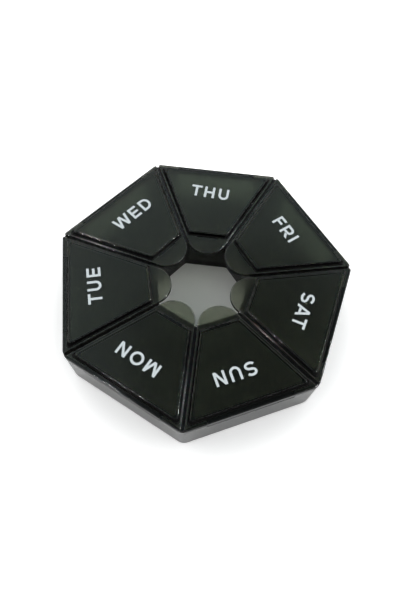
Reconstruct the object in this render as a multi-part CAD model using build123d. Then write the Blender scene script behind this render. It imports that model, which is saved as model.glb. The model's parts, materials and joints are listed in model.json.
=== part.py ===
from build123d import *
from math import atan, cos, degrees, pi, radians, sin, sqrt, tan
import os

# A weekly pill box: a seven-sided ring tray with a compartment for each day round a finger hole.
# Each compartment has a smoky see-through lid that is hinged along the outer edge. The lid's
# round lip reaches over the hole, so a fingertip in the hole flips the lid up and outwards.
# Lengths are in millimetres and angles in degrees. The ring's axis is Z, the underside is at
# Z = 0, and the Thursday lid faces +Y. Each piece is drawn with its hinge edge towards +X.

# The days, clockwise from above, and the day that faces +Y
days = ("mon", "tue", "wed", "thu", "fri", "sat", "sun")
facing_day = "thu"
facing_angle = 90.0

# Ring, measured from its axis to the flats of its sides
outer_apothem = 49.55
outer_corner_radius = 4.0
outer_draft = 1.0
outer_foot_radius = 0.8
hole_apothem = 16.0
hole_corner_radius = 1.5
hole_draft = 3.6
hole_edge_radius = 0.3
tray_height = 18.75

# Walls of the tray
outer_wall = 1.4
inner_wall = 1.4
divider_wall = 1.4
floor_thickness = 1.4
divider_draft = 0.5
pocket_corner_radius = 2.6
pocket_floor_radius = 1.6

# Lid plate and its lip
lid_gap = 0.8
lid_seat_gap = 0.05
plate_thickness = 1.2
plate_top_round = 0.4
plate_low_round = 0.2
plate_corner_round = 0.6
lip_overhang = 5.0

# Raised hollow panel on the lid
panel_rise = 1.5
panel_slope_run = 0.75
panel_side_ledge = 0.75
panel_outer_ledge = 1.4
panel_inner_ledge = 0.75
panel_corner_radius = 0.9
panel_top_round = 0.35

# Hinge: a barrel in a notch of the outer wall, with a pin at each end in a blind socket
hinge_radius = 0.9
hinge_drop = 1.15
hinge_end_inset = 8.5
pin_radius = 0.5
pin_length = 2.0
pin_end_chamfer = 0.12
pin_play = 0.05
barrel_end_gap = 0.2
barrel_gap = 0.1
ear_length = 3.2
ear_back_wall = 0.85
ear_ramp_depth = 0.4
opening_angle = 100.0

# Catch: a tongue under the lid with a bead that clicks past a bead on the hole's wall
catch_width = 8.0
catch_thickness = 0.8
catch_length = 2.0
catch_gap = 0.08
wall_bead_radius = 0.3
wall_bead_width = 5.0
wall_bead_depth = 0.9
tongue_bead_radius = 0.25

# Sizes that follow from the ones above
side_count = len(days)
half_step = pi / side_count
step_angle = 360.0 / side_count
side_length = 2 * outer_apothem * tan(half_step)
plate_low = tray_height + lid_seat_gap
plate_top = plate_low + plate_thickness
lid_top = plate_top + panel_rise
hinge_x = outer_apothem - hinge_radius
hinge_z = plate_low - hinge_drop
ear_face_y = side_length / 2 - hinge_end_inset
barrel_half_length = ear_face_y - barrel_end_gap
socket_radius = pin_radius + pin_play
wall_bead_z = tray_height - wall_bead_depth
inner_wall_face = hole_apothem + inner_wall
lip_tip_apothem = hole_apothem - lip_overhang
overshoot = 3.0


def rise_run(drop, angle):
    """How far a wall with this draft angle leans over this height."""
    return drop * tan(radians(angle))


def half_width(apothem, setback):
    """Half of a compartment's width at this distance from the axis, set back from its side plane."""
    return apothem * tan(half_step) - setback / cos(half_step)


def wedge_outline(inner, outer, setback):
    """A four-sided outline that fills one day's share of the ring."""
    near = half_width(inner, setback)
    far = half_width(outer, setback)
    return Polygon((inner, -near), (outer, -far), (outer, far), (inner, near), align=None)


def prism(outline, low, high):
    """A straight prism on the given outline, from one height to another."""
    return extrude(Pos(0, 0, low) * outline, high - low)


def drafted(solid, angle, *directions):
    """The solid with the walls that face these directions leant over, hinged about the rim's plane.
    A positive angle makes the solid wider towards its foot."""
    rim = Plane.XY.offset(tray_height)
    for direction in directions:
        wall = solid.faces().sort_by(lambda f: f.normal_at().dot(direction))[-1]
        solid = draft(wall, rim, angle)
    return solid


def upright_edges(solid):
    """The edges where two walls meet."""
    return solid.edges().filter_by(lambda e: abs(e.tangent_at(0).Z) > 0.9)


def ring_prism(apothem, draft_angle, corner_radius):
    """A seven-sided block as high as the tray, one flat side towards +X, with round corners."""
    corner = apothem / cos(half_step)
    turns = [half_step + 2 * half_step * k for k in range(side_count)]
    outline = Polygon(*[(corner * cos(t), corner * sin(t)) for t in turns], align=None)
    sides = [Vector(cos(2 * half_step * k), sin(2 * half_step * k)) for k in range(side_count)]
    block = drafted(prism(outline, 0, tray_height), draft_angle, *sides)
    return fillet(upright_edges(block), corner_radius)


def tray_block():
    """The tray's outside and its finger hole, with drafted walls and rounded bottom edges."""
    block = ring_prism(outer_apothem, -outer_draft, outer_corner_radius)
    block = fillet(block.edges().group_by(Axis.Z)[0], outer_foot_radius)
    block -= ring_prism(hole_apothem, hole_draft, hole_corner_radius)
    hole_low = hole_apothem + rise_run(tray_height, hole_draft)
    rims = block.edges().group_by(Axis.Z)
    hole_reach = (hole_low + inner_wall) / cos(half_step)
    hole_edges = [e for e in rims[0] + rims[-1] if e.center().cross(Vector(0, 0, 1)).length < hole_reach]
    return fillet(hole_edges, hole_edge_radius)


def pocket():
    """The space of one compartment: drafted walls, round corners and a rounded floor edge."""
    outline = wedge_outline(inner_wall_face, outer_apothem - outer_wall, divider_wall / 2)
    dividers = [Vector(-sin(half_step), side * cos(half_step)) for side in (-1, 1)]
    space = prism(outline, floor_thickness, tray_height)
    space = drafted(space, -outer_draft, Vector(1, 0))
    space = drafted(space, -hole_draft, Vector(-1, 0))
    space = drafted(space, -divider_draft, *dividers)
    space = fillet(upright_edges(space), pocket_corner_radius)
    return fillet(space.edges().group_by(Axis.Z)[0], pocket_floor_radius)


def side_profile(*points):
    """A face in the XZ plane through the given points."""
    return make_face(Plane.XZ * Polyline(*points, close=True))


def along_side(face, half_length):
    """A solid that runs along the hinge edge, the same distance each way."""
    return extrude(face, half_length, both=True)


def ear_pillar():
    """The thick stretch of the outer wall that holds one pin, from the floor to the rim."""
    back = hinge_x - socket_radius - ear_back_wall
    depth = outer_apothem - outer_wall / 2 - back
    height = tray_height - floor_thickness
    corner = (Align.MIN, Align.MIN, Align.MIN)
    return Pos(back, ear_face_y, floor_thickness) * Box(depth, ear_length, height, align=corner)


def wall_notch():
    """The cut in the outer wall that the lid's barrel lies in. Its floor falls away outwards,
    by as much as the open lid's edge needs."""
    floor_z = hinge_z - hinge_radius - barrel_gap
    fall = tan(radians(opening_angle) / 2) - 1
    far = outer_apothem + overshoot
    near = hinge_x - overshoot
    profile = side_profile(
        (near, tray_height + overshoot),
        (near, floor_z),
        (hinge_x, floor_z),
        (far, floor_z - fall * (far - hinge_x)),
        (far, tray_height + overshoot),
    )
    return along_side(profile, ear_face_y)


def rim_round():
    """What is cut off the rim's outer edge, so that it is round about the hinge axis and the
    plate's edge swings past it."""
    radius = hinge_drop - lid_seat_gap
    far = outer_apothem + overshoot
    top = hinge_z + radius
    slant = radius * cos(pi / 4)
    crown = (hinge_x, top)
    brow = (hinge_x + radius, hinge_z)
    bend = ThreePointArc(crown, (hinge_x + slant, hinge_z + slant), brow)
    above = (hinge_x, top + overshoot)
    edge = Plane.XZ * (bend + Polyline(brow, (far, hinge_z), (far, top + overshoot), above, crown))
    return along_side(make_face(edge), side_length / 2 + overshoot)


def pin_socket():
    """The blind hole for one pin, with a ramp above it that the pin snaps down."""
    start = ear_face_y - barrel_end_gap
    length = pin_length + 2 * barrel_end_gap
    bore_align = (Align.CENTER, Align.CENTER, Align.MAX)
    bore = Cylinder(socket_radius, length, rotation=(90, 0, 0), align=bore_align)
    ramp = make_face(
        Plane.YZ
        * Polyline(
            (start, tray_height + barrel_gap),
            (ear_face_y + ear_ramp_depth, tray_height + barrel_gap),
            (ear_face_y, hinge_z),
            (start, hinge_z),
            close=True,
        )
    )
    ramp_cut = extrude(ramp, socket_radius, both=True)
    return Pos(hinge_x, start, hinge_z) * bore + Pos(hinge_x, 0, 0) * ramp_cut


def mirrored(part):
    """A part together with its mirror image on the other half of the side."""
    return part + part.mirror(Plane.XZ)


def wall_bead():
    """The small bead on the hole's wall that the lid's tongue clicks past."""
    face_x = inner_wall_face + rise_run(wall_bead_depth, hole_draft)
    return Pos(face_x, 0, wall_bead_z) * Cylinder(wall_bead_radius, wall_bead_width, rotation=(90, 0, 0))


def all_round(part):
    """Seven copies of a part, one for each side of the ring."""
    return [Rot(0, 0, step_angle * k) * part for k in range(side_count)]


def base_tray():
    """The one-piece tray: drafted ring, seven pockets, hinge notches, ears, sockets and beads."""
    tray = tray_block() - all_round(pocket())
    tray += all_round(mirrored(ear_pillar())) + all_round(wall_bead())
    for cut in (wall_notch(), rim_round(), mirrored(pin_socket())):
        tray -= all_round(cut)
    return tray


def lid_plate():
    """The lid's flat plate: straight sides that meet the lip's arc, and the ring's rounded
    corners at its outer end."""
    setback = lid_gap / 2
    lip_center = (lip_tip_apothem - setback) / (1 - sin(half_step))
    along = lip_center * cos(half_step)
    side = Vector(cos(half_step), sin(half_step))
    inward = Vector(sin(half_step), -cos(half_step))
    lip_start = side * along + inward * setback
    corner_reach = (outer_apothem - outer_corner_radius) / cos(half_step)
    bend = side * corner_reach
    corner = side * (corner_reach + sqrt(outer_corner_radius**2 - setback**2)) + inward * setback
    half_turn = half_step / 2
    middle = bend + Vector(cos(half_turn), sin(half_turn)) * outer_corner_radius
    flat_end = Vector(outer_apothem, bend.Y)

    def below(point):
        return (point.X, -point.Y)

    def above(point):
        return (point.X, point.Y)

    outline = make_face(
        [
            ThreePointArc(above(lip_start), (lip_tip_apothem, 0), below(lip_start)),
            Line(below(lip_start), below(corner)),
            ThreePointArc(below(corner), below(middle), below(flat_end)),
            Line(below(flat_end), above(flat_end)),
            ThreePointArc(above(flat_end), above(middle), above(corner)),
            Line(above(corner), above(lip_start)),
        ]
    )
    tips = [v for v in outline.vertices() if abs(abs(v.Y) - corner.Y) < plate_corner_round / 10]
    outline = fillet(tips, plate_corner_round)
    plate = extrude(Pos(0, 0, plate_low) * outline, plate_thickness)
    plate = fillet(plate.edges().group_by(Axis.Z)[-1], plate_top_round)
    return fillet(plate.edges().group_by(Axis.Z)[0], plate_low_round)


def panel_face(inset, corner_radius, z):
    """The panel's outline, drawn in from its foot by this much on every side."""
    setback = lid_gap / 2 + panel_side_ledge + inset
    inner = inner_wall_face + panel_inner_ledge + inset
    outer = outer_apothem - panel_outer_ledge - inset
    outline = wedge_outline(inner, outer, setback)
    return Pos(0, 0, z) * fillet(outline.vertices(), corner_radius)


def panel_shell():
    """The raised panel on top of the plate, with sloping sides."""
    shell = loft(
        [
            panel_face(0, panel_corner_radius, plate_top),
            panel_face(panel_slope_run, panel_corner_radius, lid_top),
        ],
        ruled=True,
    )
    return fillet(shell.edges().group_by(Axis.Z)[-1], panel_top_round)


def panel_cavity():
    """The hollow under the panel, which leaves a wall as thick as the plate."""
    lean = panel_slope_run / panel_rise
    wall_run = plate_thickness * sqrt(1 + lean**2)
    low_inset = wall_run - plate_thickness * lean
    rise = lid_top - plate_thickness - plate_low
    return loft(
        [
            panel_face(low_inset, panel_corner_radius, plate_low),
            panel_face(low_inset + rise * lean, panel_corner_radius, plate_low + rise),
        ],
        ruled=True,
    )


def hinge_barrel():
    """The bar under the plate's outer edge, round below and carried by a web above."""
    top = plate_low + plate_thickness / 2
    inner = hinge_x - hinge_radius
    corner = (Align.MIN, Align.CENTER, Align.MIN)
    web = Pos(inner, 0, hinge_z) * Box(
        2 * hinge_radius, 2 * barrel_half_length, top - hinge_z, align=corner
    )
    bar = Pos(hinge_x, 0, hinge_z) * Cylinder(
        hinge_radius, 2 * barrel_half_length, rotation=(90, 0, 0)
    )
    return web + bar


def hinge_pin():
    """One of the two pins that run in the ears' sockets."""
    pin_align = (Align.CENTER, Align.CENTER, Align.MIN)
    pin = Cylinder(pin_radius, pin_length + hinge_radius, align=pin_align)
    pin = chamfer(pin.edges().group_by(Axis.Z)[-1], pin_end_chamfer)
    return Pos(hinge_x, barrel_half_length - hinge_radius, hinge_z) * Rot(-90, 0, 0) * pin


def catch_tongue():
    """The tongue that hangs inside the hole's wall, with its bead below the wall's bead."""
    wall_reach = inner_wall_face + rise_run(wall_bead_depth, hole_draft) + wall_bead_radius
    face_x = wall_reach + catch_gap + tongue_bead_radius
    corner = (Align.MIN, Align.CENTER, Align.MAX)
    tongue = Pos(face_x, 0, plate_low + plate_low_round) * Box(
        catch_thickness, catch_width, catch_length + plate_low_round, align=corner
    )
    bead_z = plate_low - catch_length + tongue_bead_radius
    bead = Pos(face_x, 0, bead_z) * Cylinder(tongue_bead_radius, wall_bead_width, rotation=(90, 0, 0))
    return tongue + bead


def day_lid():
    """One lid, closed, with its hinge edge towards +X."""
    lid = lid_plate() + panel_shell()
    lid -= panel_cavity()
    lid += hinge_barrel()
    lid += mirrored(hinge_pin())
    lid += catch_tongue()
    return lid


def day_angle(day):
    """The direction that a day's lid faces. The days run clockwise from above."""
    return facing_angle - step_angle * (days.index(day) - days.index(facing_day))


def save(part, node):
    """Write one piece to its own file and print its solids and volume."""
    part.label = node
    export_step(part, f"parts/{node}.step")
    print(node, len(part.solids()), "solid", round(part.volume, 1), "mm3")


def main():
    os.makedirs("parts", exist_ok=True)
    limit = degrees(2 * atan(hinge_drop / hinge_radius))
    print("the lids open", opening_angle, "degrees and would meet the wall at", round(limit, 1))
    facing = Rot(0, 0, facing_angle)
    save(facing * base_tray(), "base_tray")
    lid = day_lid()
    for day in days:
        save(Rot(0, 0, day_angle(day)) * lid, f"lid_{day}")


main()
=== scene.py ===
"""A weekly pill box: a glossy black ring tray, seven smoky hinged lids and their printed day names."""

from __future__ import annotations

import json
import logging
import math
from dataclasses import dataclass, field
from enum import Enum

import bmesh
import bpy
from mathutils import Matrix, Vector

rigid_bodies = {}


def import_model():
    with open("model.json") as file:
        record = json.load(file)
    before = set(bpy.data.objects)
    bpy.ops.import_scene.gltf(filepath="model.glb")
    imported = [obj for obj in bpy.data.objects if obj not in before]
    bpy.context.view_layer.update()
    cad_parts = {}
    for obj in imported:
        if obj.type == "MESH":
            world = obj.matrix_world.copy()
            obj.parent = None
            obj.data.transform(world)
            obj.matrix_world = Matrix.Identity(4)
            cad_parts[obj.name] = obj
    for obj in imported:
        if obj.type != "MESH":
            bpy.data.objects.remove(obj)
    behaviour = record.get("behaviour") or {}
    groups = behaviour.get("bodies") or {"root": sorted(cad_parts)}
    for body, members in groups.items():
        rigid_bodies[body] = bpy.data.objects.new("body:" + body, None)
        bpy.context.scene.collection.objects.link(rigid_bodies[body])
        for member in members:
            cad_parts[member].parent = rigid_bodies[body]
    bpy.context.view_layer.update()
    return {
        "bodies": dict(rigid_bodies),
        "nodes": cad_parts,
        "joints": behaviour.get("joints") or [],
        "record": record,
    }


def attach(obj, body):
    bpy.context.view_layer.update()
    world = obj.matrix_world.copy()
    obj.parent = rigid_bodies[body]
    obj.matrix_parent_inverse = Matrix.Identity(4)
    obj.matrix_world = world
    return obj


LOG = logging.getLogger("pill_box")
MM = 0.001
WHITE = (1.0, 1.0, 1.0)

# A Mix node has several sockets of one name, so its colour sockets go by number.
MIX_FIRST = 6
MIX_SECOND = 7
MIX_RESULT = 2

Pair = tuple[float, float]
Triple = tuple[float, float, float]


class Day(Enum):
    """The seven days, clockwise from above, with the direction that each lid faces."""

    MON = 0
    TUE = 1
    WED = 2
    THU = 3
    FRI = 4
    SAT = 5
    SUN = 6

    @property
    def key(self) -> str:
        """The day as it stands in the names of nodes and bodies."""
        return self.name.lower()

    @property
    def facing(self) -> float:
        """The angle in degrees, from +X towards +Y, that the lid's hinge edge faces."""
        thursday = 90.0
        return thursday - 360.0 / len(Day) * (self.value - Day.THU.value)


def add_object(name: str, data: bpy.types.ID) -> bpy.types.Object:
    """Put a new object into the scene.

    Args:
        name: The object's name.
        data: Its mesh, lamp or camera.

    Returns:
        The object.
    """
    piece = bpy.data.objects.new(name, data)
    bpy.context.scene.collection.objects.link(piece)
    return piece


def mesh_data(name: str, mesh: bmesh.types.BMesh) -> bpy.types.Mesh:
    """Turn a mesh that was worked on into mesh data.

    Args:
        name: The data's name.
        mesh: The mesh, which is freed.

    Returns:
        The mesh data.
    """
    data = bpy.data.meshes.new(name)
    mesh.to_mesh(data)
    mesh.free()
    return data


class Graph:
    """A node tree with short calls to add and join nodes."""

    def __init__(self, tree: bpy.types.NodeTree) -> None:
        """Keep the tree and start from no nodes.

        Args:
            tree: The tree to fill.
        """
        self.tree = tree
        tree.nodes.clear()

    def add(self, kind: str, **values: object) -> bpy.types.Node:
        """Add a node.

        Args:
            kind: The node's type name.
            values: Properties of the node, or input values by socket name.

        Returns:
            The new node.
        """
        node = self.tree.nodes.new(kind)
        for name, value in values.items():
            if hasattr(node, name):
                setattr(node, name, value)
            else:
                node.inputs[name.replace("_", " ")].default_value = value
        return node

    def join(self, out: bpy.types.NodeSocket, into: bpy.types.NodeSocket) -> None:
        """Link one socket to another."""
        self.tree.links.new(out, into)

    def feed(self, slot: bpy.types.NodeSocket, value: float | bpy.types.NodeSocket) -> None:
        """Give an input a number, or link a socket to it.

        Args:
            slot: The input.
            value: A number or a socket.
        """
        if isinstance(value, (int, float)):
            slot.default_value = value
        else:
            self.join(value, slot)

    def math(
        self, operation: str, first: float | bpy.types.NodeSocket, second: float | bpy.types.NodeSocket = 0.0
    ) -> bpy.types.NodeSocket:
        """Work out a number from two numbers or sockets.

        Args:
            operation: The Math node's operation.
            first: A number or a socket.
            second: A number or a socket.

        Returns:
            The result's socket.
        """
        node = self.add("ShaderNodeMath", operation=operation)
        for slot, value in zip(node.inputs, (first, second)):
            self.feed(slot, value)
        return node.outputs[0]

    def between(
        self,
        value: bpy.types.NodeSocket,
        ends: Pair,
        low: float | bpy.types.NodeSocket = 0.0,
        high: float = 1.0,
        smooth: bool = False,
    ) -> bpy.types.NodeSocket:
        """Turn a value into one that runs from low to high and is held past both ends.

        Args:
            value: The value's socket.
            ends: The values where the result is low and where it is high.
            low: The lowest result, a number or a socket.
            high: The highest result.
            smooth: Whether the result eases in and out.

        Returns:
            The result's socket.
        """
        node = self.add("ShaderNodeMapRange", interpolation_type="SMOOTHSTEP" if smooth else "LINEAR")
        self.join(value, node.inputs["Value"])
        for name, bound in zip(("From Min", "From Max", "To Min", "To Max"), (*ends, low, high)):
            self.feed(node.inputs[name], bound)
        return node.outputs[0]

    def split(self, vector: bpy.types.NodeSocket) -> bpy.types.Node:
        """Add the node that takes a vector apart into X, Y and Z."""
        node = self.add("ShaderNodeSeparateXYZ")
        self.join(vector, node.inputs[0])
        return node

    def length(self, vector: bpy.types.NodeSocket) -> bpy.types.NodeSocket:
        """Work out a vector's length."""
        node = self.add("ShaderNodeVectorMath", operation="LENGTH")
        self.join(vector, node.inputs[0])
        return node.outputs["Value"]

    def ramp(self, value: bpy.types.NodeSocket, stops: list[tuple[float, Triple]]) -> bpy.types.NodeSocket:
        """Pick a colour for a value.

        Args:
            value: The value's socket.
            stops: Each stop's place from 0 to 1 and its colour.

        Returns:
            The colour's socket.
        """
        node = self.add("ShaderNodeValToRGB")
        self.join(value, node.inputs[0])
        steps = node.color_ramp.elements
        while len(steps) > 1:
            steps.remove(steps[-1])
        for place, colour in stops:
            steps.new(max(0.0, place)).color = (*colour, 1.0)
        steps.remove(steps[0])
        return node.outputs[0]

    def blend(
        self, share: bpy.types.NodeSocket, first: bpy.types.Node, second: bpy.types.Node
    ) -> bpy.types.NodeSocket:
        """Mix two shaders.

        Args:
            share: The second shader's share.
            first: The first shader's node.
            second: The second shader's node.

        Returns:
            The mixed shader's socket.
        """
        node = self.add("ShaderNodeMixShader")
        for slot, socket in zip(node.inputs, (share, first.outputs[0], second.outputs[0])):
            self.join(socket, slot)
        return node.outputs[0]

    def reflected(self) -> bpy.types.NodeSocket:
        """Make a mask of what is seen as a reflection in the plastic."""
        path = self.add("ShaderNodeLightPath")
        return self.math("MULTIPLY", path.outputs["Is Reflection Ray"], path.outputs["Is Glossy Ray"])


class MaterialGraph(Graph):
    """The node tree of a new material, with its output and its body shader in place."""

    def __init__(self, name: str) -> None:
        """Make the material.

        Args:
            name: The material's name.
        """
        self.material = bpy.data.materials.new(name)
        self.material.use_nodes = True
        super().__init__(self.material.node_tree)
        self.end = self.add("ShaderNodeOutputMaterial")
        self.body = self.add("ShaderNodeBsdfPrincipled")
        self.join(self.body.outputs[0], self.end.inputs["Surface"])

    def bump(self, height: bpy.types.NodeSocket, strength: float, depth: float) -> None:
        """Let a pattern of heights tilt the surface's normals.

        Args:
            height: The pattern's socket, from 0 to 1.
            strength: How much of the bump shows.
            depth: The pattern's depth in millimetres.
        """
        node = self.add("ShaderNodeBump", Strength=strength, Distance=depth * MM)
        self.join(height, node.inputs["Height"])
        self.join(node.outputs[0], self.body.inputs["Normal"])


class MouldedSkin:
    """The shader group that both plastics share.

    It gives the roughness, with fine haze and stray dust, the height of the flow marks and the share
    of light that each part of a moulding lets in, a little uneven with the flow marks and cut down by
    painted shade below and above given heights, on the rim and on steep faces.
    """

    NAME = "moulded_skin"
    INPUTS = {
        "Wave Size": 9.0,
        "Haze": 0.05,
        "Haze Spread": 0.03,
        "Dust": 0.2,
        # Painted shade: where it lies, below and above a height, on steep faces and on the rim, and how much
        # light it lets in.
        "Thick Below": -1.0,
        "Thick Above": 1.0,
        "Thick Shade": 1.0,
        "Steep Shade": 1.0,
        "Under Haze": 0.0,
        "Under Low": -1.0,
        "Under High": -1.0,
        "Rim From": 1.0,
        "Rim Shade": 1.0,
    }
    OUTPUTS = ("Roughness", "Height", "Shade")
    WAVE_PATTERN = {"Detail": 3.0, "Roughness": 0.45}
    GRAIN_PATTERN = {"Scale": 900.0, "Detail": 4.0, "Roughness": 0.6}

    # Specks lie in a few cells of a pattern: cells per metre, a speck's radius in cells, and the
    # random number above which a cell has a speck.
    SPECK_CELLS = 420.0
    SPECK_RADIUS = 0.07
    SPECK_FROM = 0.93

    # How far above or below its stated height an underside still counts, in metres.
    UNDERSIDE_REACH = 0.2 * MM

    # The flow marks make the shade run from the first number up by the second.
    MOTTLE_LOW = 0.95
    MOTTLE_SPAN = 0.1

    # How far up or down a steep face and a level face point, as the size of the normal's Z: the
    # painted shade is full on steep faces and gone on level ones.
    STEEP_TO_LEVEL = (0.7, 0.97)

    def __init__(self) -> None:
        """Build the group once."""
        self.tree = bpy.data.node_groups.new(self.NAME, "ShaderNodeTree")
        face = self.tree.interface
        for name, value in self.INPUTS.items():
            socket = face.new_socket(name=name, in_out="INPUT", socket_type="NodeSocketFloat")
            socket.default_value = value
        for name in self.OUTPUTS:
            face.new_socket(name=name, in_out="OUTPUT", socket_type="NodeSocketFloat")
        self.graph = Graph(self.tree)
        self.given = self.graph.add("NodeGroupInput")
        self.coordinates = self.graph.add("ShaderNodeTexCoord")
        self.spot = self.graph.split(self.coordinates.outputs["Object"])
        made = self.graph.add("NodeGroupOutput")
        waves = self._waves()
        for name, socket in zip(self.OUTPUTS, (self._roughness(), waves, self._shade(waves))):
            self.graph.join(socket, made.inputs[name])

    def _noise(self, pattern: dict[str, float]) -> bpy.types.Node:
        """Add a noise pattern that lies on the piece.

        Args:
            pattern: The pattern's settings by socket name.

        Returns:
            The noise node.
        """
        noise = self.graph.add("ShaderNodeTexNoise", **pattern)
        self.graph.join(self.coordinates.outputs["Object"], noise.inputs["Vector"])
        return noise

    def _waves(self) -> bpy.types.NodeSocket:
        """Make the wide, shallow flow marks of the moulding."""
        waves = self._noise(self.WAVE_PATTERN)
        scale = self.graph.math("DIVIDE", 1.0 / MM, self.given.outputs["Wave Size"])
        self.graph.join(scale, waves.inputs["Scale"])
        return waves.outputs[0]

    def _dust(self) -> bpy.types.NodeSocket:
        """Make the roughness that stray specks of dust add."""
        graph = self.graph
        specks = graph.add("ShaderNodeTexVoronoi", feature="F1", Scale=self.SPECK_CELLS)
        graph.join(self.coordinates.outputs["Object"], specks.inputs["Vector"])
        near = graph.math("LESS_THAN", specks.outputs["Distance"], self.SPECK_RADIUS)
        cell = graph.add("ShaderNodeSeparateColor")
        graph.join(specks.outputs["Color"], cell.inputs[0])
        few = graph.math("GREATER_THAN", cell.outputs[0], self.SPECK_FROM)
        return graph.math("MULTIPLY", graph.math("MULTIPLY", near, few), self.given.outputs["Dust"])

    def _roughness(self) -> bpy.types.NodeSocket:
        """Make the roughness: haze, fine grain and dust, and more haze on the two undersides."""
        graph = self.graph
        given = self.given.outputs
        grain = self._noise(self.GRAIN_PATTERN)
        spread = graph.math("MULTIPLY", grain.outputs[0], given["Haze Spread"])
        haze = graph.math("ADD", graph.math("ADD", given["Haze"], spread), self._dust())
        levels = []
        for name in ("Under Low", "Under High"):
            apart = graph.math("SUBTRACT", self.spot.outputs["Z"], given[name])
            levels.append(graph.math("LESS_THAN", graph.math("ABSOLUTE", apart), self.UNDERSIDE_REACH))
        matt = graph.math("MULTIPLY", graph.math("MAXIMUM", *levels), given["Under Haze"])
        return graph.math("ADD", haze, matt)

    def _apothem(self) -> bpy.types.NodeSocket:
        """Work out the distance from the box's middle, measured square to the nearest of its sides."""
        graph = self.graph
        spot = self.spot.outputs
        turn = graph.math("ARCTAN2", spot["X"], spot["Y"])
        aside = graph.math("PINGPONG", turn, math.pi / len(Day))
        ground = graph.add("ShaderNodeCombineXYZ")
        for axis in ("X", "Y"):
            graph.join(spot[axis], ground.inputs[axis])
        return graph.math("MULTIPLY", graph.length(ground.outputs[0]), graph.math("COSINE", aside))

    def _loss(self, mask: bpy.types.NodeSocket, shade: str) -> bpy.types.NodeSocket:
        """Work out the share of light that the painted shade on a masked part keeps out.

        Args:
            mask: The part's mask.
            shade: The name of the input that says what share the part lets in.

        Returns:
            The loss's socket.
        """
        kept_out = self.graph.math("SUBTRACT", 1.0, self.given.outputs[shade])
        return self.graph.math("MULTIPLY", mask, kept_out)

    def _shade(self, waves: bpy.types.NodeSocket) -> bpy.types.NodeSocket:
        """Make the share of light that gets in, cut down by painted shade below and above given heights,
        on the rim and on steep faces.

        Args:
            waves: The flow marks, which make the share a little uneven.

        Returns:
            The share's socket.
        """
        graph = self.graph
        given = self.given.outputs
        height = self.spot.outputs["Z"]
        # Painted shade below and above given heights: the lid's hinge knuckles, the tray's rim top and its
        # hinge ears.
        low = graph.math("LESS_THAN", height, given["Thick Below"])
        high = graph.math("GREATER_THAN", height, given["Thick Above"])
        painted_shade_loss = self._loss(graph.math("MAXIMUM", low, high), "Thick Shade")
        # Painted shade on the rim.
        rim = graph.math("GREATER_THAN", self._apothem(), given["Rim From"])
        loss = graph.math("MAXIMUM", self._loss(rim, "Rim Shade"), painted_shade_loss)
        mottle = graph.math("ADD", graph.math("MULTIPLY", waves, self.MOTTLE_SPAN), self.MOTTLE_LOW)
        shade = graph.math("MULTIPLY", mottle, graph.math("SUBTRACT", 1.0, loss))
        # Painted shade on steep faces, which darkens the panels' slopes.
        facing = graph.split(self.coordinates.outputs["Normal"])
        upright = graph.math("ABSOLUTE", facing.outputs["Z"])
        level = graph.between(upright, self.STEEP_TO_LEVEL, low=given["Steep Shade"])
        return graph.math("MULTIPLY", shade, level)


@dataclass(frozen=True)
class Plastic:
    """A polished, see-through moulded plastic. Sizes are in millimetres.

    Attributes:
        name: The material's name.
        colour: The share of each colour that a thin part lets in.
        haze: The surface's roughness.
        dye: The colour that the plastic takes on with depth.
        dye_strength: How fast it does so, per metre.
        refraction: The index of refraction.
        wave_size: How far apart the flow marks lie.
        wave_depth: How strongly the flow marks tilt the surface.
        dust: The roughness of a speck of dust.
        thick_below: The height below which shade is painted.
        thick_above: The height above which shade is painted.
        thick_shade: The share of light that gets in where that shade is painted.
        steep_shade: The share of light that gets in through steep faces, a painted shade that darkens the
            slopes.
        under_haze: The roughness that is added on the two undersides.
        under_low: The lower underside's height.
        under_high: The higher underside's height.
        rim_from: How far from the middle the rim's painted shade starts, measured square to a side.
        rim_shade: The share of light that gets into the rim, under its painted shade.
    """

    name: str
    colour: Triple
    haze: float
    dye: Triple
    dye_strength: float
    refraction: float = 1.5
    wave_size: float = 9.0
    wave_depth: float = 0.02
    dust: float = 0.2
    thick_below: float = -1.0
    thick_above: float = 1000.0
    thick_shade: float = 1.0
    steep_shade: float = 1.0
    under_haze: float = 0.0
    under_low: float = -1.0
    under_high: float = -1.0
    rim_from: float = 1000.0
    rim_shade: float = 1.0

    def material(self, skin: MouldedSkin) -> bpy.types.Material:
        """Make the material.

        Args:
            skin: The shared group of surface marks.

        Returns:
            The material.
        """
        graph = MaterialGraph(self.name)
        body = graph.body
        marks = graph.add("ShaderNodeGroup", node_tree=skin.tree)
        settings = {
            "Wave Size": self.wave_size,
            "Haze": self.haze,
            "Dust": self.dust,
            # Painted shade: below and above a height, on steep faces and on the rim.
            "Thick Below": self.thick_below * MM,
            "Thick Above": self.thick_above * MM,
            "Thick Shade": self.thick_shade,
            "Steep Shade": self.steep_shade,
            "Under Haze": self.under_haze,
            "Under Low": self.under_low * MM,
            "Under High": self.under_high * MM,
            "Rim From": self.rim_from * MM,
            "Rim Shade": self.rim_shade,
        }
        for name, value in settings.items():
            marks.inputs[name].default_value = value
        body.inputs["IOR"].default_value = self.refraction
        body.inputs["Transmission Weight"].default_value = 1.0
        inside = graph.add("ShaderNodeVolumeAbsorption", Density=self.dye_strength)
        inside.inputs["Color"].default_value = (*self.dye, 1.0)
        graph.join(inside.outputs[0], graph.end.inputs["Volume"])
        tone = graph.add("ShaderNodeMix", data_type="RGBA", blend_type="MULTIPLY", Factor=1.0)
        tone.inputs[MIX_FIRST].default_value = (*self.colour, 1.0)
        graph.join(marks.outputs["Shade"], tone.inputs[MIX_SECOND])
        graph.join(tone.outputs[MIX_RESULT], body.inputs["Base Color"])
        graph.join(marks.outputs["Roughness"], body.inputs["Roughness"])
        graph.bump(marks.outputs["Height"], self.wave_depth, depth=1.0)
        return graph.material


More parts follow.
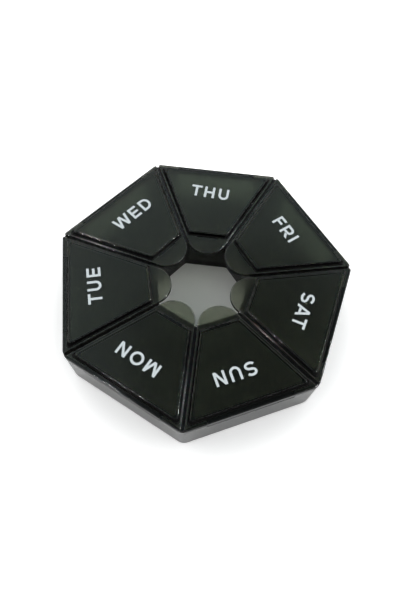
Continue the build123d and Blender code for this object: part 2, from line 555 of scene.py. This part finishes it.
@dataclass(frozen=True)
class PrintInk:
    """The thin off-white ink of the day names, a little uneven as pad-printed ink is.

    Attributes:
        name: The material's name.
        colour: The colour where the ink is full.
        worn: The colour where the ink is thin.
        grain: How fine the unevenness is, per metre.
        grain_detail: How many finer layers it has.
        smoothest: The lowest roughness.
        roughening: How much rougher the grain makes it.
        bump: How strongly the grain tilts the surface.
        bump_depth: The grain's depth in millimetres.
    """

    name: str = "day_print"
    colour: Triple = (0.68, 0.74, 0.76)
    worn: Triple = (0.58, 0.65, 0.68)
    grain: float = 2600.0
    grain_detail: float = 3.0
    smoothest: float = 0.3
    roughening: float = 0.3
    bump: float = 0.15
    bump_depth: float = 0.1

    def material(self) -> bpy.types.Material:
        """Make the material."""
        graph = MaterialGraph(self.name)
        place = graph.add("ShaderNodeTexCoord").outputs["Object"]
        noise = graph.add("ShaderNodeTexNoise", Scale=self.grain, Detail=self.grain_detail)
        graph.join(place, noise.inputs["Vector"])
        grain = noise.outputs[0]
        tone = graph.add("ShaderNodeMix", data_type="RGBA")
        tone.inputs[MIX_FIRST].default_value = (*self.worn, 1.0)
        tone.inputs[MIX_SECOND].default_value = (*self.colour, 1.0)
        graph.join(grain, tone.inputs["Factor"])
        graph.join(tone.outputs[MIX_RESULT], graph.body.inputs["Base Color"])
        rough = graph.math("ADD", graph.math("MULTIPLY", grain, self.roughening), self.smoothest)
        graph.join(rough, graph.body.inputs["Roughness"])
        graph.bump(grain, self.bump, self.bump_depth)
        return graph.material


@dataclass(frozen=True)
class Stroke:
    """One line of a letter: its middle line in millimetres, and whether it closes on itself."""

    points: tuple[Pair, ...]
    closed: bool = False


@dataclass
class Alphabet:
    """Plain upright capitals of even line width.

    Attributes:
        height: The capitals' height in millimetres.
        line: The line's width in millimetres.
        ink: The ink's thickness in millimetres.
        round_over: How far an O reaches past the top and the foot, in millimetres.
        arc_steps: The number of straight steps in half a turn.
        short_arm: The length of the middle arm of E and F, as a share of the letter's width.
        w_foot: How far in the feet of W lie, as a share of its width.
        a_bar: How high the bar of A lies, as a share of its height.
        d_bend: Where the bowl of D starts to bend, as a share of its width.
        r_waist: The height of the waist of R, as a share of its height.
        r_bowl: How far the bowl of R reaches, as a share of its width.
        r_leg: Where the leg of R starts, as a share of its width.
        r_leg_inset: How far in the leg's foot ends, in half line widths.
        s_top: The width of the upper bow of S, as a share of the lower one's.
        s_start: The angle where S starts, in degrees.
        s_sweep: The angle that each of its bows covers.
        widths: Each letter's width in millimetres.
    """

    height: float = 5.0
    line: float = 0.92
    ink: float = 0.03
    round_over: float = 0.06
    arc_steps: int = 20
    short_arm: float = 0.94
    w_foot: float = 0.246
    a_bar: float = 0.27
    d_bend: float = 0.42
    r_waist: float = 0.42
    r_bowl: float = 0.95
    r_leg: float = 0.53
    r_leg_inset: float = 1.1
    s_top: float = 0.94
    s_start: float = 28.0
    s_sweep: float = 242.0
    widths: dict[str, float] = field(
        default_factory=lambda: {
            "A": 4.6, "D": 4.15, "E": 3.6, "F": 3.3, "H": 3.95, "I": 1.05, "M": 4.8, "N": 3.9,
            "O": 4.8, "R": 4.2, "S": 4.0, "T": 4.0, "U": 3.9, "W": 6.4,
        }
    )

    def arc(self, middle: Pair, across: float, up: float, start: float, sweep: float) -> list[Pair]:
        """Points on part of an oval.

        Args:
            middle: The oval's middle, along the word and above the foot line.
            across: Half of the oval's width.
            up: Half of its height.
            start: The first angle in degrees.
            sweep: The angle that the part covers, to the left if positive.

        Returns:
            The points in order.
        """
        x, y = middle
        steps = max(2, round(self.arc_steps * abs(sweep) / 180))
        turns = [math.radians(start + sweep * k / steps) for k in range(steps + 1)]
        return [(x + across * math.cos(t), y + up * math.sin(t)) for t in turns]

    def strokes(self, letter: str) -> list[Stroke]:
        """The lines that make up a letter, with its left edge at x = 0 and its foot at y = 0.

        Args:
            letter: One capital.

        Returns:
            The letter's strokes.
        """
        w, h, s = self.widths[letter], self.height, self.line
        half = s / 2
        over = h  # pointed ends run past the letter and are cut off at its top and foot
        mid = h / 2
        match letter:
            case "I":
                return [Stroke(((half, 0), (half, h)))]
            case "T":
                return [Stroke(((0, h - half), (w, h - half))), Stroke(((w / 2, 0), (w / 2, h - s)))]
            case "H":
                return [
                    Stroke(((half, 0), (half, h))),
                    Stroke(((w - half, 0), (w - half, h))),
                    Stroke(((s, mid), (w - s, mid))),
                ]
            case "E" | "F":
                arms = [Stroke(((half, 0), (half, h))), Stroke(((s, h - half), (w, h - half)))]
                arms.append(Stroke(((s, mid), (w * self.short_arm, mid))))
                if letter == "E":
                    arms.append(Stroke(((s, half), (w, half))))
                return arms
            case "N":
                return [Stroke(((half, -over), (half, h), (w - half, 0), (w - half, h + over)))]
            case "M":
                points = ((half, -over), (half, h), (w / 2, 0), (w - half, h), (w - half, -over))
                return [Stroke(points)]
            case "W":
                foot = w * self.w_foot
                reach = (foot - half) * (h + over) / h
                start, end = (foot - reach, h + over), (w - foot + reach, h + over)
                return [Stroke((start, (foot, 0), (w / 2, h), (w - foot, 0), end))]
            case "A":
                lean = (w / 2 - half) / h
                legs = Stroke(((half - lean * over, -over), (w / 2, h), (w - half + lean * over, -over)))
                low = h * self.a_bar
                inside = half + low * lean + half * math.hypot(1, lean)
                return [legs, Stroke(((inside, low), (w - inside, low)))]
            case "O":
                tall = (h + 2 * self.round_over - s) / 2
                ring = self.arc((w / 2, mid), (w - s) / 2, tall, 90, 360)[:-1]
                return [Stroke(tuple(ring), closed=True)]
            case "U":
                bend = self.arc((w / 2, w / 2), (w - s) / 2, w / 2 - half, 180, 180)
                return [Stroke(((half, h), *bend, (w - half, h)))]
            case "D":
                reach = w * self.d_bend
                bowl = self.arc((reach, mid), w - half - reach, mid - half, -90, 180)
                return [Stroke(((half, half), *bowl, (half, h - half)), closed=True)]
            case "R":
                waist = h * self.r_waist
                tall = (h - half - waist) / 2
                wide = w * self.r_bowl
                bowl = self.arc((wide - half - tall, waist + tall), tall, tall, -90, 180)
                leg_top = w * self.r_leg
                leg_foot = w - half * self.r_leg_inset
                lean = (leg_foot - leg_top) / (waist - half)
                return [
                    Stroke(((half, waist), *bowl, (half, h - half)), closed=True),
                    Stroke(((half, 0), (half, waist - half))),
                    Stroke(((leg_top, waist - half), (leg_foot + lean * over, -over))),
                ]
            case _:
                high = (h - s) / 4
                wide = (w - s) / 2
                top = self.arc((w / 2, h - half - high), wide * self.s_top, high, self.s_start, self.s_sweep)
                low = self.arc((w / 2, half + high), wide, high, 90, -self.s_sweep)
                return [Stroke((*top, *low[1:]))]


@dataclass(frozen=True)
class Letter:
    """One printed capital and where its left edge lies along the word, in millimetres."""

    sign: str
    left: float


@dataclass
class DayName:
    """A printed day name on a lid's raised panel. Sizes are in millimetres.

    Attributes:
        day: The day.
        letters: Its three letters with their places.
        foot: How far from the box's middle the foot line lies.
        tilt: The angle that the name is turned by, in degrees.
        panel_top: The height of the panel's top.
        sink: How deep the ink's underside lies in the panel.
        alphabet: The letters' shapes.
    """

    # The least cosine at a corner, so that a sharp corner's point doesn't run away.
    LEAST_MITRE = 0.05

    # Points of a stroke that lie closer than this are one, in millimetres.
    WELD = 1e-4

    day: Day
    letters: tuple[Letter, ...]
    foot: float
    tilt: float = 0.0
    panel_top: float = 21.5
    sink: float = 0.025
    alphabet: Alphabet = field(default_factory=Alphabet)

    def _mitre(self, points: list[Vector], closed: bool) -> list[tuple[Vector, Vector]]:
        """The left and right edge points of a stroke.

        Args:
            points: The stroke's middle line.
            closed: Whether the line closes on itself.

        Returns:
            One pair of edge points for each point of the line.
        """
        half = self.alphabet.line / 2
        pairs = []
        count = len(points)
        for k, point in enumerate(points):
            before = points[k - 1] if (k or closed) else None
            after = points[(k + 1) % count] if (k < count - 1 or closed) else None
            runs = [(point - before).normalized()] if before else []
            runs += [(after - point).normalized()] if after else []
            sides = [Vector((-r.y, r.x)) for r in runs]
            side = sides[0] if len(sides) == 1 else (sides[0] + sides[1]).normalized()
            reach = half / max(side.dot(sides[0]), self.LEAST_MITRE)
            pairs.append((point + side * reach, point - side * reach))
        return pairs

    def _ribbon(self, mesh: bmesh.types.BMesh, stroke: Stroke, left: float) -> None:
        """Pull one stroke's ribbon out of its first edge and cut it level at the letter's ends.

        Args:
            mesh: The mesh to add to.
            stroke: The stroke.
            left: Where the letter's left edge lies along the word.
        """
        points = [Vector((x + left, y)) for x, y in stroke.points]
        pairs = self._mitre(points, stroke.closed)
        ends = [mesh.verts.new((p.x, p.y, 0)) for p in pairs[0]]
        edge = mesh.edges.new(ends)
        made = [edge]
        for pair in pairs[1:]:
            pulled = bmesh.ops.extrude_edge_only(mesh, edges=[edge])["geom"]
            edge = next(g for g in pulled if isinstance(g, bmesh.types.BMEdge))
            corners = sorted(edge.verts, key=lambda v: (v.co - ends[0].co).length)
            for corner, place in zip(corners, pair):
                corner.co = (place.x, place.y, 0)
            ends = corners
            made.append(edge)
        if stroke.closed:
            bmesh.ops.bridge_loops(mesh, edges=[made[-1], made[0]])
        past = self.alphabet.round_over if stroke.closed else 0.0
        for level, facing in ((self.alphabet.height + past, 1), (-past, -1)):
            geometry = list(mesh.verts) + list(mesh.edges) + list(mesh.faces)
            bmesh.ops.bisect_plane(
                mesh, geom=geometry, plane_co=(0, level, 0), plane_no=(0, facing, 0), clear_outer=True
            )

    def _flat(self) -> bmesh.types.BMesh:
        """Make the name's letters as thin solids, lying flat with the foot line along X."""
        whole = bmesh.new()
        for letter in self.letters:
            for stroke in self.alphabet.strokes(letter.sign):
                part = bmesh.new()
                self._ribbon(part, stroke, letter.left)
                bmesh.ops.remove_doubles(part, verts=part.verts, dist=self.WELD)
                thick = bmesh.ops.extrude_face_region(part, geom=list(part.faces))
                raised = [g for g in thick["geom"] if isinstance(g, bmesh.types.BMVert)]
                bmesh.ops.translate(part, verts=raised, vec=(0, 0, self.alphabet.ink))
                bmesh.ops.recalc_face_normals(part, faces=part.faces)
                spare = mesh_data("stroke", part)
                whole.from_mesh(spare)
                bpy.data.meshes.remove(spare)
        return whole

    def _place(self) -> Matrix:
        """Work out where the flat name goes on the closed lid, in metres."""
        facing = math.radians(self.day.facing)
        along = Vector((math.sin(facing), -math.cos(facing), 0))
        outward = Vector((math.cos(facing), math.sin(facing), 0))
        above = Vector((0, 0, self.panel_top - self.sink))
        place = Matrix.Identity(4)
        for row in range(3):
            place[row][0] = along[row]
            place[row][1] = outward[row]
            place[row][3] = outward[row] * self.foot + above[row]
        last = self.letters[-1]
        right = last.left + self.alphabet.widths[last.sign]
        middle = Vector((self.letters[0].left + right, self.alphabet.height, 0)) / 2
        turn = Matrix.Rotation(math.radians(self.tilt), 4, "Z")
        about_middle = Matrix.Translation(middle) @ turn @ Matrix.Translation(-middle)
        return Matrix.Scale(MM, 4) @ place @ about_middle

    def build(self, ink: bpy.types.Material) -> bpy.types.Object:
        """Make the name's piece in its place on the closed lid.

        Args:
            ink: The print's material.

        Returns:
            The new piece.
        """
        whole = self._flat()
        bmesh.ops.transform(whole, matrix=self._place(), verts=whole.verts)
        data = mesh_data(f"day_name_{self.day.key}", whole)
        data.materials.append(ink)
        piece = add_object(data.name, data)
        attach(piece, f"{self.day.key}_lid")
        return piece


@dataclass
class PillBox:
    """The tray and the seven lids, dressed, with their printed names.

    Attributes:
        frame: The loaded frame, with the moulded pieces by node name.
        tray: The tray's plastic.
        lid: The lids' plastic.
        ink: The day names' ink.
    """

    frame: dict
    tray: Plastic = Plastic(
        "tray_plastic",
        (0.95, 0.96, 0.95),
        haze=0.02,
        dye=(0.29, 0.35, 0.30),
        dye_strength=2050.0,
        wave_depth=0.01,
        # Painted shade on the tray's rim top and hinge ears, above 16.4 mm.
        thick_above=16.4,
        thick_shade=0.0005,
    )
    lid: Plastic = Plastic(
        "lid_plastic",
        (0.97, 0.98, 0.97),
        haze=0.03,
        dye=(0.335, 0.371, 0.194),
        dye_strength=1000.0,
        refraction=1.49,
        wave_depth=0.005,
        dust=0.1,
        # Painted shade on the hinge knuckles, below 18.7 mm.
        thick_below=18.7,
        thick_shade=0.0005,
        # Painted shade on the steep slopes.
        steep_shade=0.002,
        under_haze=0.4,
        under_low=18.8,
        under_high=20.3,
        # Painted shade on the lids' outer rim strip.
        rim_from=48.7,
        rim_shade=0.25,
    )
    ink: PrintInk = PrintInk()

    def names(self) -> list[DayName]:
        """The seven names with their letters' places, as measured on the photograph."""

        def name(day: Day, height: float, line: float, foot: float, tilt: float, *places: float) -> DayName:
            """One day's name from its letters' height and line width, foot line, tilt and left edges."""
            letters = tuple(Letter(sign, left) for sign, left in zip(day.name, places))
            return DayName(day, letters, foot, tilt, alphabet=Alphabet(height=height, line=line))

        return [
            name(Day.MON, 4.70, 0.88, 34.85, -1.35, -6.57, -0.45, 5.68),
            name(Day.TUE, 5.00, 0.92, 35.60, 2.20, -6.53, -1.40, 4.15),
            name(Day.WED, 5.00, 0.92, 35.15, -0.20, -7.80, -0.35, 4.70),
            name(Day.THU, 5.00, 0.92, 34.95, -3.50, -8.50, -3.40, 2.10),
            name(Day.FRI, 4.85, 0.92, 35.10, 0.10, -6.78, -2.15, 3.23),
            name(Day.SAT, 4.90, 0.87, 34.82, -2.85, -7.09, -2.06, 2.87),
            name(Day.SUN, 4.95, 0.85, 34.55, -0.40, -6.15, -0.78, 4.60),
        ]

    def dress(self) -> None:
        """Give the moulded pieces their plastics and print the names."""
        skin = MouldedSkin()
        solid = self.tray.material(skin)
        smoky = self.lid.material(skin)
        ink = self.ink.material()
        for node, piece in self.frame["nodes"].items():
            finish = solid if node == "base_tray" else smoky
            piece.data.materials.clear()
            piece.data.materials.append(finish)
            LOG.info("%s wears %s", node, finish.name)
        for name in self.names():
            piece = name.build(ink)
            LOG.info("%s printed with %d faces", piece.name, len(piece.data.polygons))


@dataclass(frozen=True)
class Lamp:
    """An oval lamp that only reflections show.

    Attributes:
        name: The lamp's name.
        way: The way to it from the box.
        spread: Half of its width and half of its height, as angles seen from the box in degrees.
        light: How bright its face is.
        distance: How far away it hangs, in millimetres.
    """

    name: str
    way: Triple
    spread: Pair
    light: float
    distance: float = 2200.0

    def build(self) -> None:
        """Hang the lamp so that it shines on the middle of the table."""
        away = Vector(self.way).normalized()
        wide, high = (self.distance * math.tan(math.radians(half)) * MM for half in self.spread)
        data = bpy.data.lights.new(self.name, "AREA")
        data.shape = "ELLIPSE"
        data.size = 2 * wide
        data.size_y = 2 * high
        data.energy = math.pi * math.pi * wide * high * self.light
        piece = add_object(self.name, data)
        turned = away.to_track_quat("Z", "Y").to_matrix().to_4x4()
        piece.matrix_world = Matrix.Translation(away * self.distance * MM) @ turned
        piece.visible_diffuse = False
        piece.visible_transmission = False
        LOG.info("%s hung", self.name)


@dataclass(frozen=True)
class Table:
    """A plain white table under the box. Sizes are in millimetres, places from the box's middle.

    Attributes:
        size: The length of its sides.
        drop: How far it lies under the box.
        white: How much light it throws back.
        roughness: Its roughness.
        glow: The light that it gives by itself, as a ground does that is lit from all round.
        lit: Where that light starts and where it is full.
        seen_glow: The light on top that only the camera sees.
        seen: Where that light starts and where it is full.
        mirrored: The share of its light that the plastic mirrors, by place.
    """

    size: float = 6000.0
    drop: float = 0.05
    white: float = 0.95
    roughness: float = 0.7
    glow: float = 0.45
    lit: Pair = (50.0, 75.0)
    seen_glow: float = 0.32
    seen: Pair = (36.0, 48.0)
    mirrored: tuple[Pair, ...] = ((16, 0.45), (40, 1.0), (60, 1.0), (80, 0.08))

    @staticmethod
    def _outward(
        graph: Graph, away: bpy.types.NodeSocket, reach: Pair, light: float
    ) -> bpy.types.NodeSocket:
        """Make a light that grows outwards from the box's middle.

        Args:
            graph: The tree to add to.
            away: The distance from the middle, in metres.
            reach: Where the light starts and where it is full, in millimetres.
            light: The full light.

        Returns:
            The light's socket.
        """
        return graph.between(away, (reach[0] * MM, reach[1] * MM), high=light, smooth=True)

    def _material(self) -> bpy.types.Material:
        """Make the table's material."""
        graph = MaterialGraph("table_white")
        body = graph.body
        body.inputs["Roughness"].default_value = self.roughness
        body.inputs["Base Color"].default_value = (self.white, self.white, self.white, 1.0)
        body.inputs["Specular IOR Level"].default_value = 0.0
        body.inputs["Emission Color"].default_value = (*WHITE, 1.0)
        away = graph.length(graph.add("ShaderNodeTexCoord").outputs["Object"])
        lit = self._outward(graph, away, self.lit, self.glow)
        seen = self._outward(graph, away, self.seen, self.seen_glow)
        camera = graph.add("ShaderNodeLightPath").outputs["Is Camera Ray"]
        strength = graph.math("ADD", lit, graph.math("MULTIPLY", seen, camera))
        graph.join(strength, body.inputs["Emission Strength"])
        reach = self.mirrored[-1][0] * MM
        stops = [(out * MM / reach, (light, light, light)) for out, light in self.mirrored]
        share = graph.ramp(graph.math("DIVIDE", away, reach), stops)
        loss = graph.math("MULTIPLY", graph.reflected(), graph.math("SUBTRACT", 1.0, share))
        unlit = graph.add("ShaderNodeEmission", Strength=0.0)
        graph.join(graph.blend(loss, body, unlit), graph.end.inputs["Surface"])
        return graph.material

    def build(self) -> None:
        """Lay the table under the box."""
        mesh = bmesh.new()
        bmesh.ops.create_grid(mesh, x_segments=1, y_segments=1, size=self.size / 2 * MM)
        bmesh.ops.translate(mesh, verts=mesh.verts, vec=(0, 0, -self.drop * MM))
        data = mesh_data("table", mesh)
        data.materials.append(self._material())
        piece = add_object("table", data)
        LOG.info("table laid")


@dataclass(frozen=True)
class Surroundings:
    """Soft light from all round, dimmer where the lids mirror the room's ceiling.

    Attributes:
        ceiling: The way to the ceiling's dimmest place.
        glow: The light by the angle from that place, in degrees.
        tint: The ceiling's colour.
        tinted_below: The light below which the tint shows.
        horizon: The angles from that place where the horizon starts and where it is full, in degrees.
        horizon_dim: The share of the horizon's light that reflections in the plastic lack.
        lean: How much more light comes from the far side than from above.
        near: How far along Y a way points where the near side's dark starts and where it is full.
        near_dark: The share of light that the near side lacks.
        backdrop: How bright the camera sees what lies past the table.
    """

    ceiling: Triple = (0.08, 0.30, 0.95)
    glow: tuple[Pair, ...] = (
        (0, 0.11), (9, 0.16), (13, 0.28), (16, 0.46), (21, 0.6), (32, 0.95), (55, 1.7), (90, 1.9)
    )
    tint: Triple = (0.84, 1.0, 1.0)
    tinted_below: float = 0.8
    horizon: Pair = (50.0, 75.0)
    horizon_dim: float = 0.75
    lean: float = 0.15
    near: Pair = (-0.1, -0.6)
    near_dark: float = 0.75
    backdrop: float = 0.9

    def _stops(self) -> list[tuple[float, Triple]]:
        """The glow's colour ramp, by the cosine of the angle."""
        stops = []
        for degrees, light in self.glow:
            tint = self.tint if light < self.tinted_below else WHITE
            stops.append((math.cos(math.radians(degrees)), tuple(light * share for share in tint)))
        return stops

    def build(self) -> None:
        """Set up the world's light."""
        world = bpy.data.worlds.new("studio")
        bpy.context.scene.world = world
        world.use_nodes = True
        graph = Graph(world.node_tree)
        end = graph.add("ShaderNodeOutputWorld")
        glow = graph.add("ShaderNodeBackground")
        backdrop = graph.add("ShaderNodeBackground", Strength=self.backdrop)
        camera = graph.add("ShaderNodeLightPath").outputs["Is Camera Ray"]
        graph.join(graph.blend(camera, glow, backdrop), end.inputs["Surface"])
        way = graph.add("ShaderNodeTexCoord").outputs["Generated"]
        toward = graph.add("ShaderNodeVectorMath", operation="DOT_PRODUCT")
        graph.join(way, toward.inputs[0])
        toward.inputs[1].default_value = Vector(self.ceiling).normalized()
        graph.join(graph.ramp(toward.outputs["Value"], self._stops()), glow.inputs["Color"])
        horizon = tuple(math.cos(math.radians(degrees)) for degrees in self.horizon)
        low = graph.between(toward.outputs["Value"], horizon, high=self.horizon_dim)
        kept = graph.math("SUBTRACT", 1.0, graph.math("MULTIPLY", graph.reflected(), low))
        far = graph.split(way).outputs["Y"]
        lean = graph.math("ADD", graph.math("MULTIPLY", far, self.lean), 1.0)
        near = graph.between(far, self.near, low=1.0, high=1.0 - self.near_dark, smooth=True)
        strength = graph.math("MULTIPLY", graph.math("MULTIPLY", lean, near), kept)
        graph.join(strength, glow.inputs["Strength"])
        LOG.info("surroundings lit")


@dataclass(frozen=True)
class Viewpoint:
    """The camera, where the photograph was taken from. Sizes are in millimetres.

    Attributes:
        target: The point that it looks at.
        forward: The way that it looks.
        distance: How far from the target it stands.
        roll: The angle that it is rolled by, in degrees.
        lens: The focal length.
        clip: The distance within which it sees nothing.
    """

    target: Triple = (0.21, -8.01, 19.94)
    forward: Triple = (-0.0334, 0.4321, -0.9012)
    distance: float = 191.9
    roll: float = 2.541
    lens: float = 32.716
    clip: float = 5.0

    def build(self) -> None:
        """Set the camera up."""
        ahead = Vector(self.forward).normalized()
        level = ahead.cross(Vector((0, 0, 1))).normalized()
        above = level.cross(ahead)
        tilt = math.radians(self.roll)
        right = level * math.cos(tilt) + above * math.sin(tilt)
        up = above * math.cos(tilt) - level * math.sin(tilt)
        spot = Vector(self.target) - ahead * self.distance
        data = bpy.data.cameras.new("camera")
        data.lens = self.lens
        data.clip_start = self.clip * MM
        eye = add_object("camera", data)
        eye.matrix_world = Matrix(
            [
                (right.x, up.x, -ahead.x, spot.x * MM),
                (right.y, up.y, -ahead.y, spot.y * MM),
                (right.z, up.z, -ahead.z, spot.z * MM),
                (0, 0, 0, 1),
            ]
        )
        bpy.context.scene.camera = eye
        LOG.info("camera set up")


@dataclass(frozen=True)
class Studio:
    """A plain white table, soft light from all round, two lamps for the glints and the camera."""

    table: Table = Table()
    surroundings: Surroundings = Surroundings()
    lamps: tuple[Lamp, ...] = (
        Lamp("lamp_right", (0.62, 0.09, 0.78), (12.0, 8.0), 40.0),
        Lamp("lamp_left", (-0.416, -0.249, 0.875), (3.2, 3.2), 80.0),
    )
    viewpoint: Viewpoint = Viewpoint()

    def build(self) -> None:
        """Set up the table, the light and the camera, and show colours as they are."""
        self.table.build()
        self.surroundings.build()
        for lamp in self.lamps:
            lamp.build()
        self.viewpoint.build()
        bpy.context.scene.view_settings.view_transform = "Standard"


def main() -> None:
    """Load the frame, build the studio and the box, and finish."""
    logging.basicConfig(level=logging.INFO, format="%(name)s: %(message)s")
    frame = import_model()
    Studio().build()
    PillBox(frame).dress()


if __name__ == "__main__":
    main()
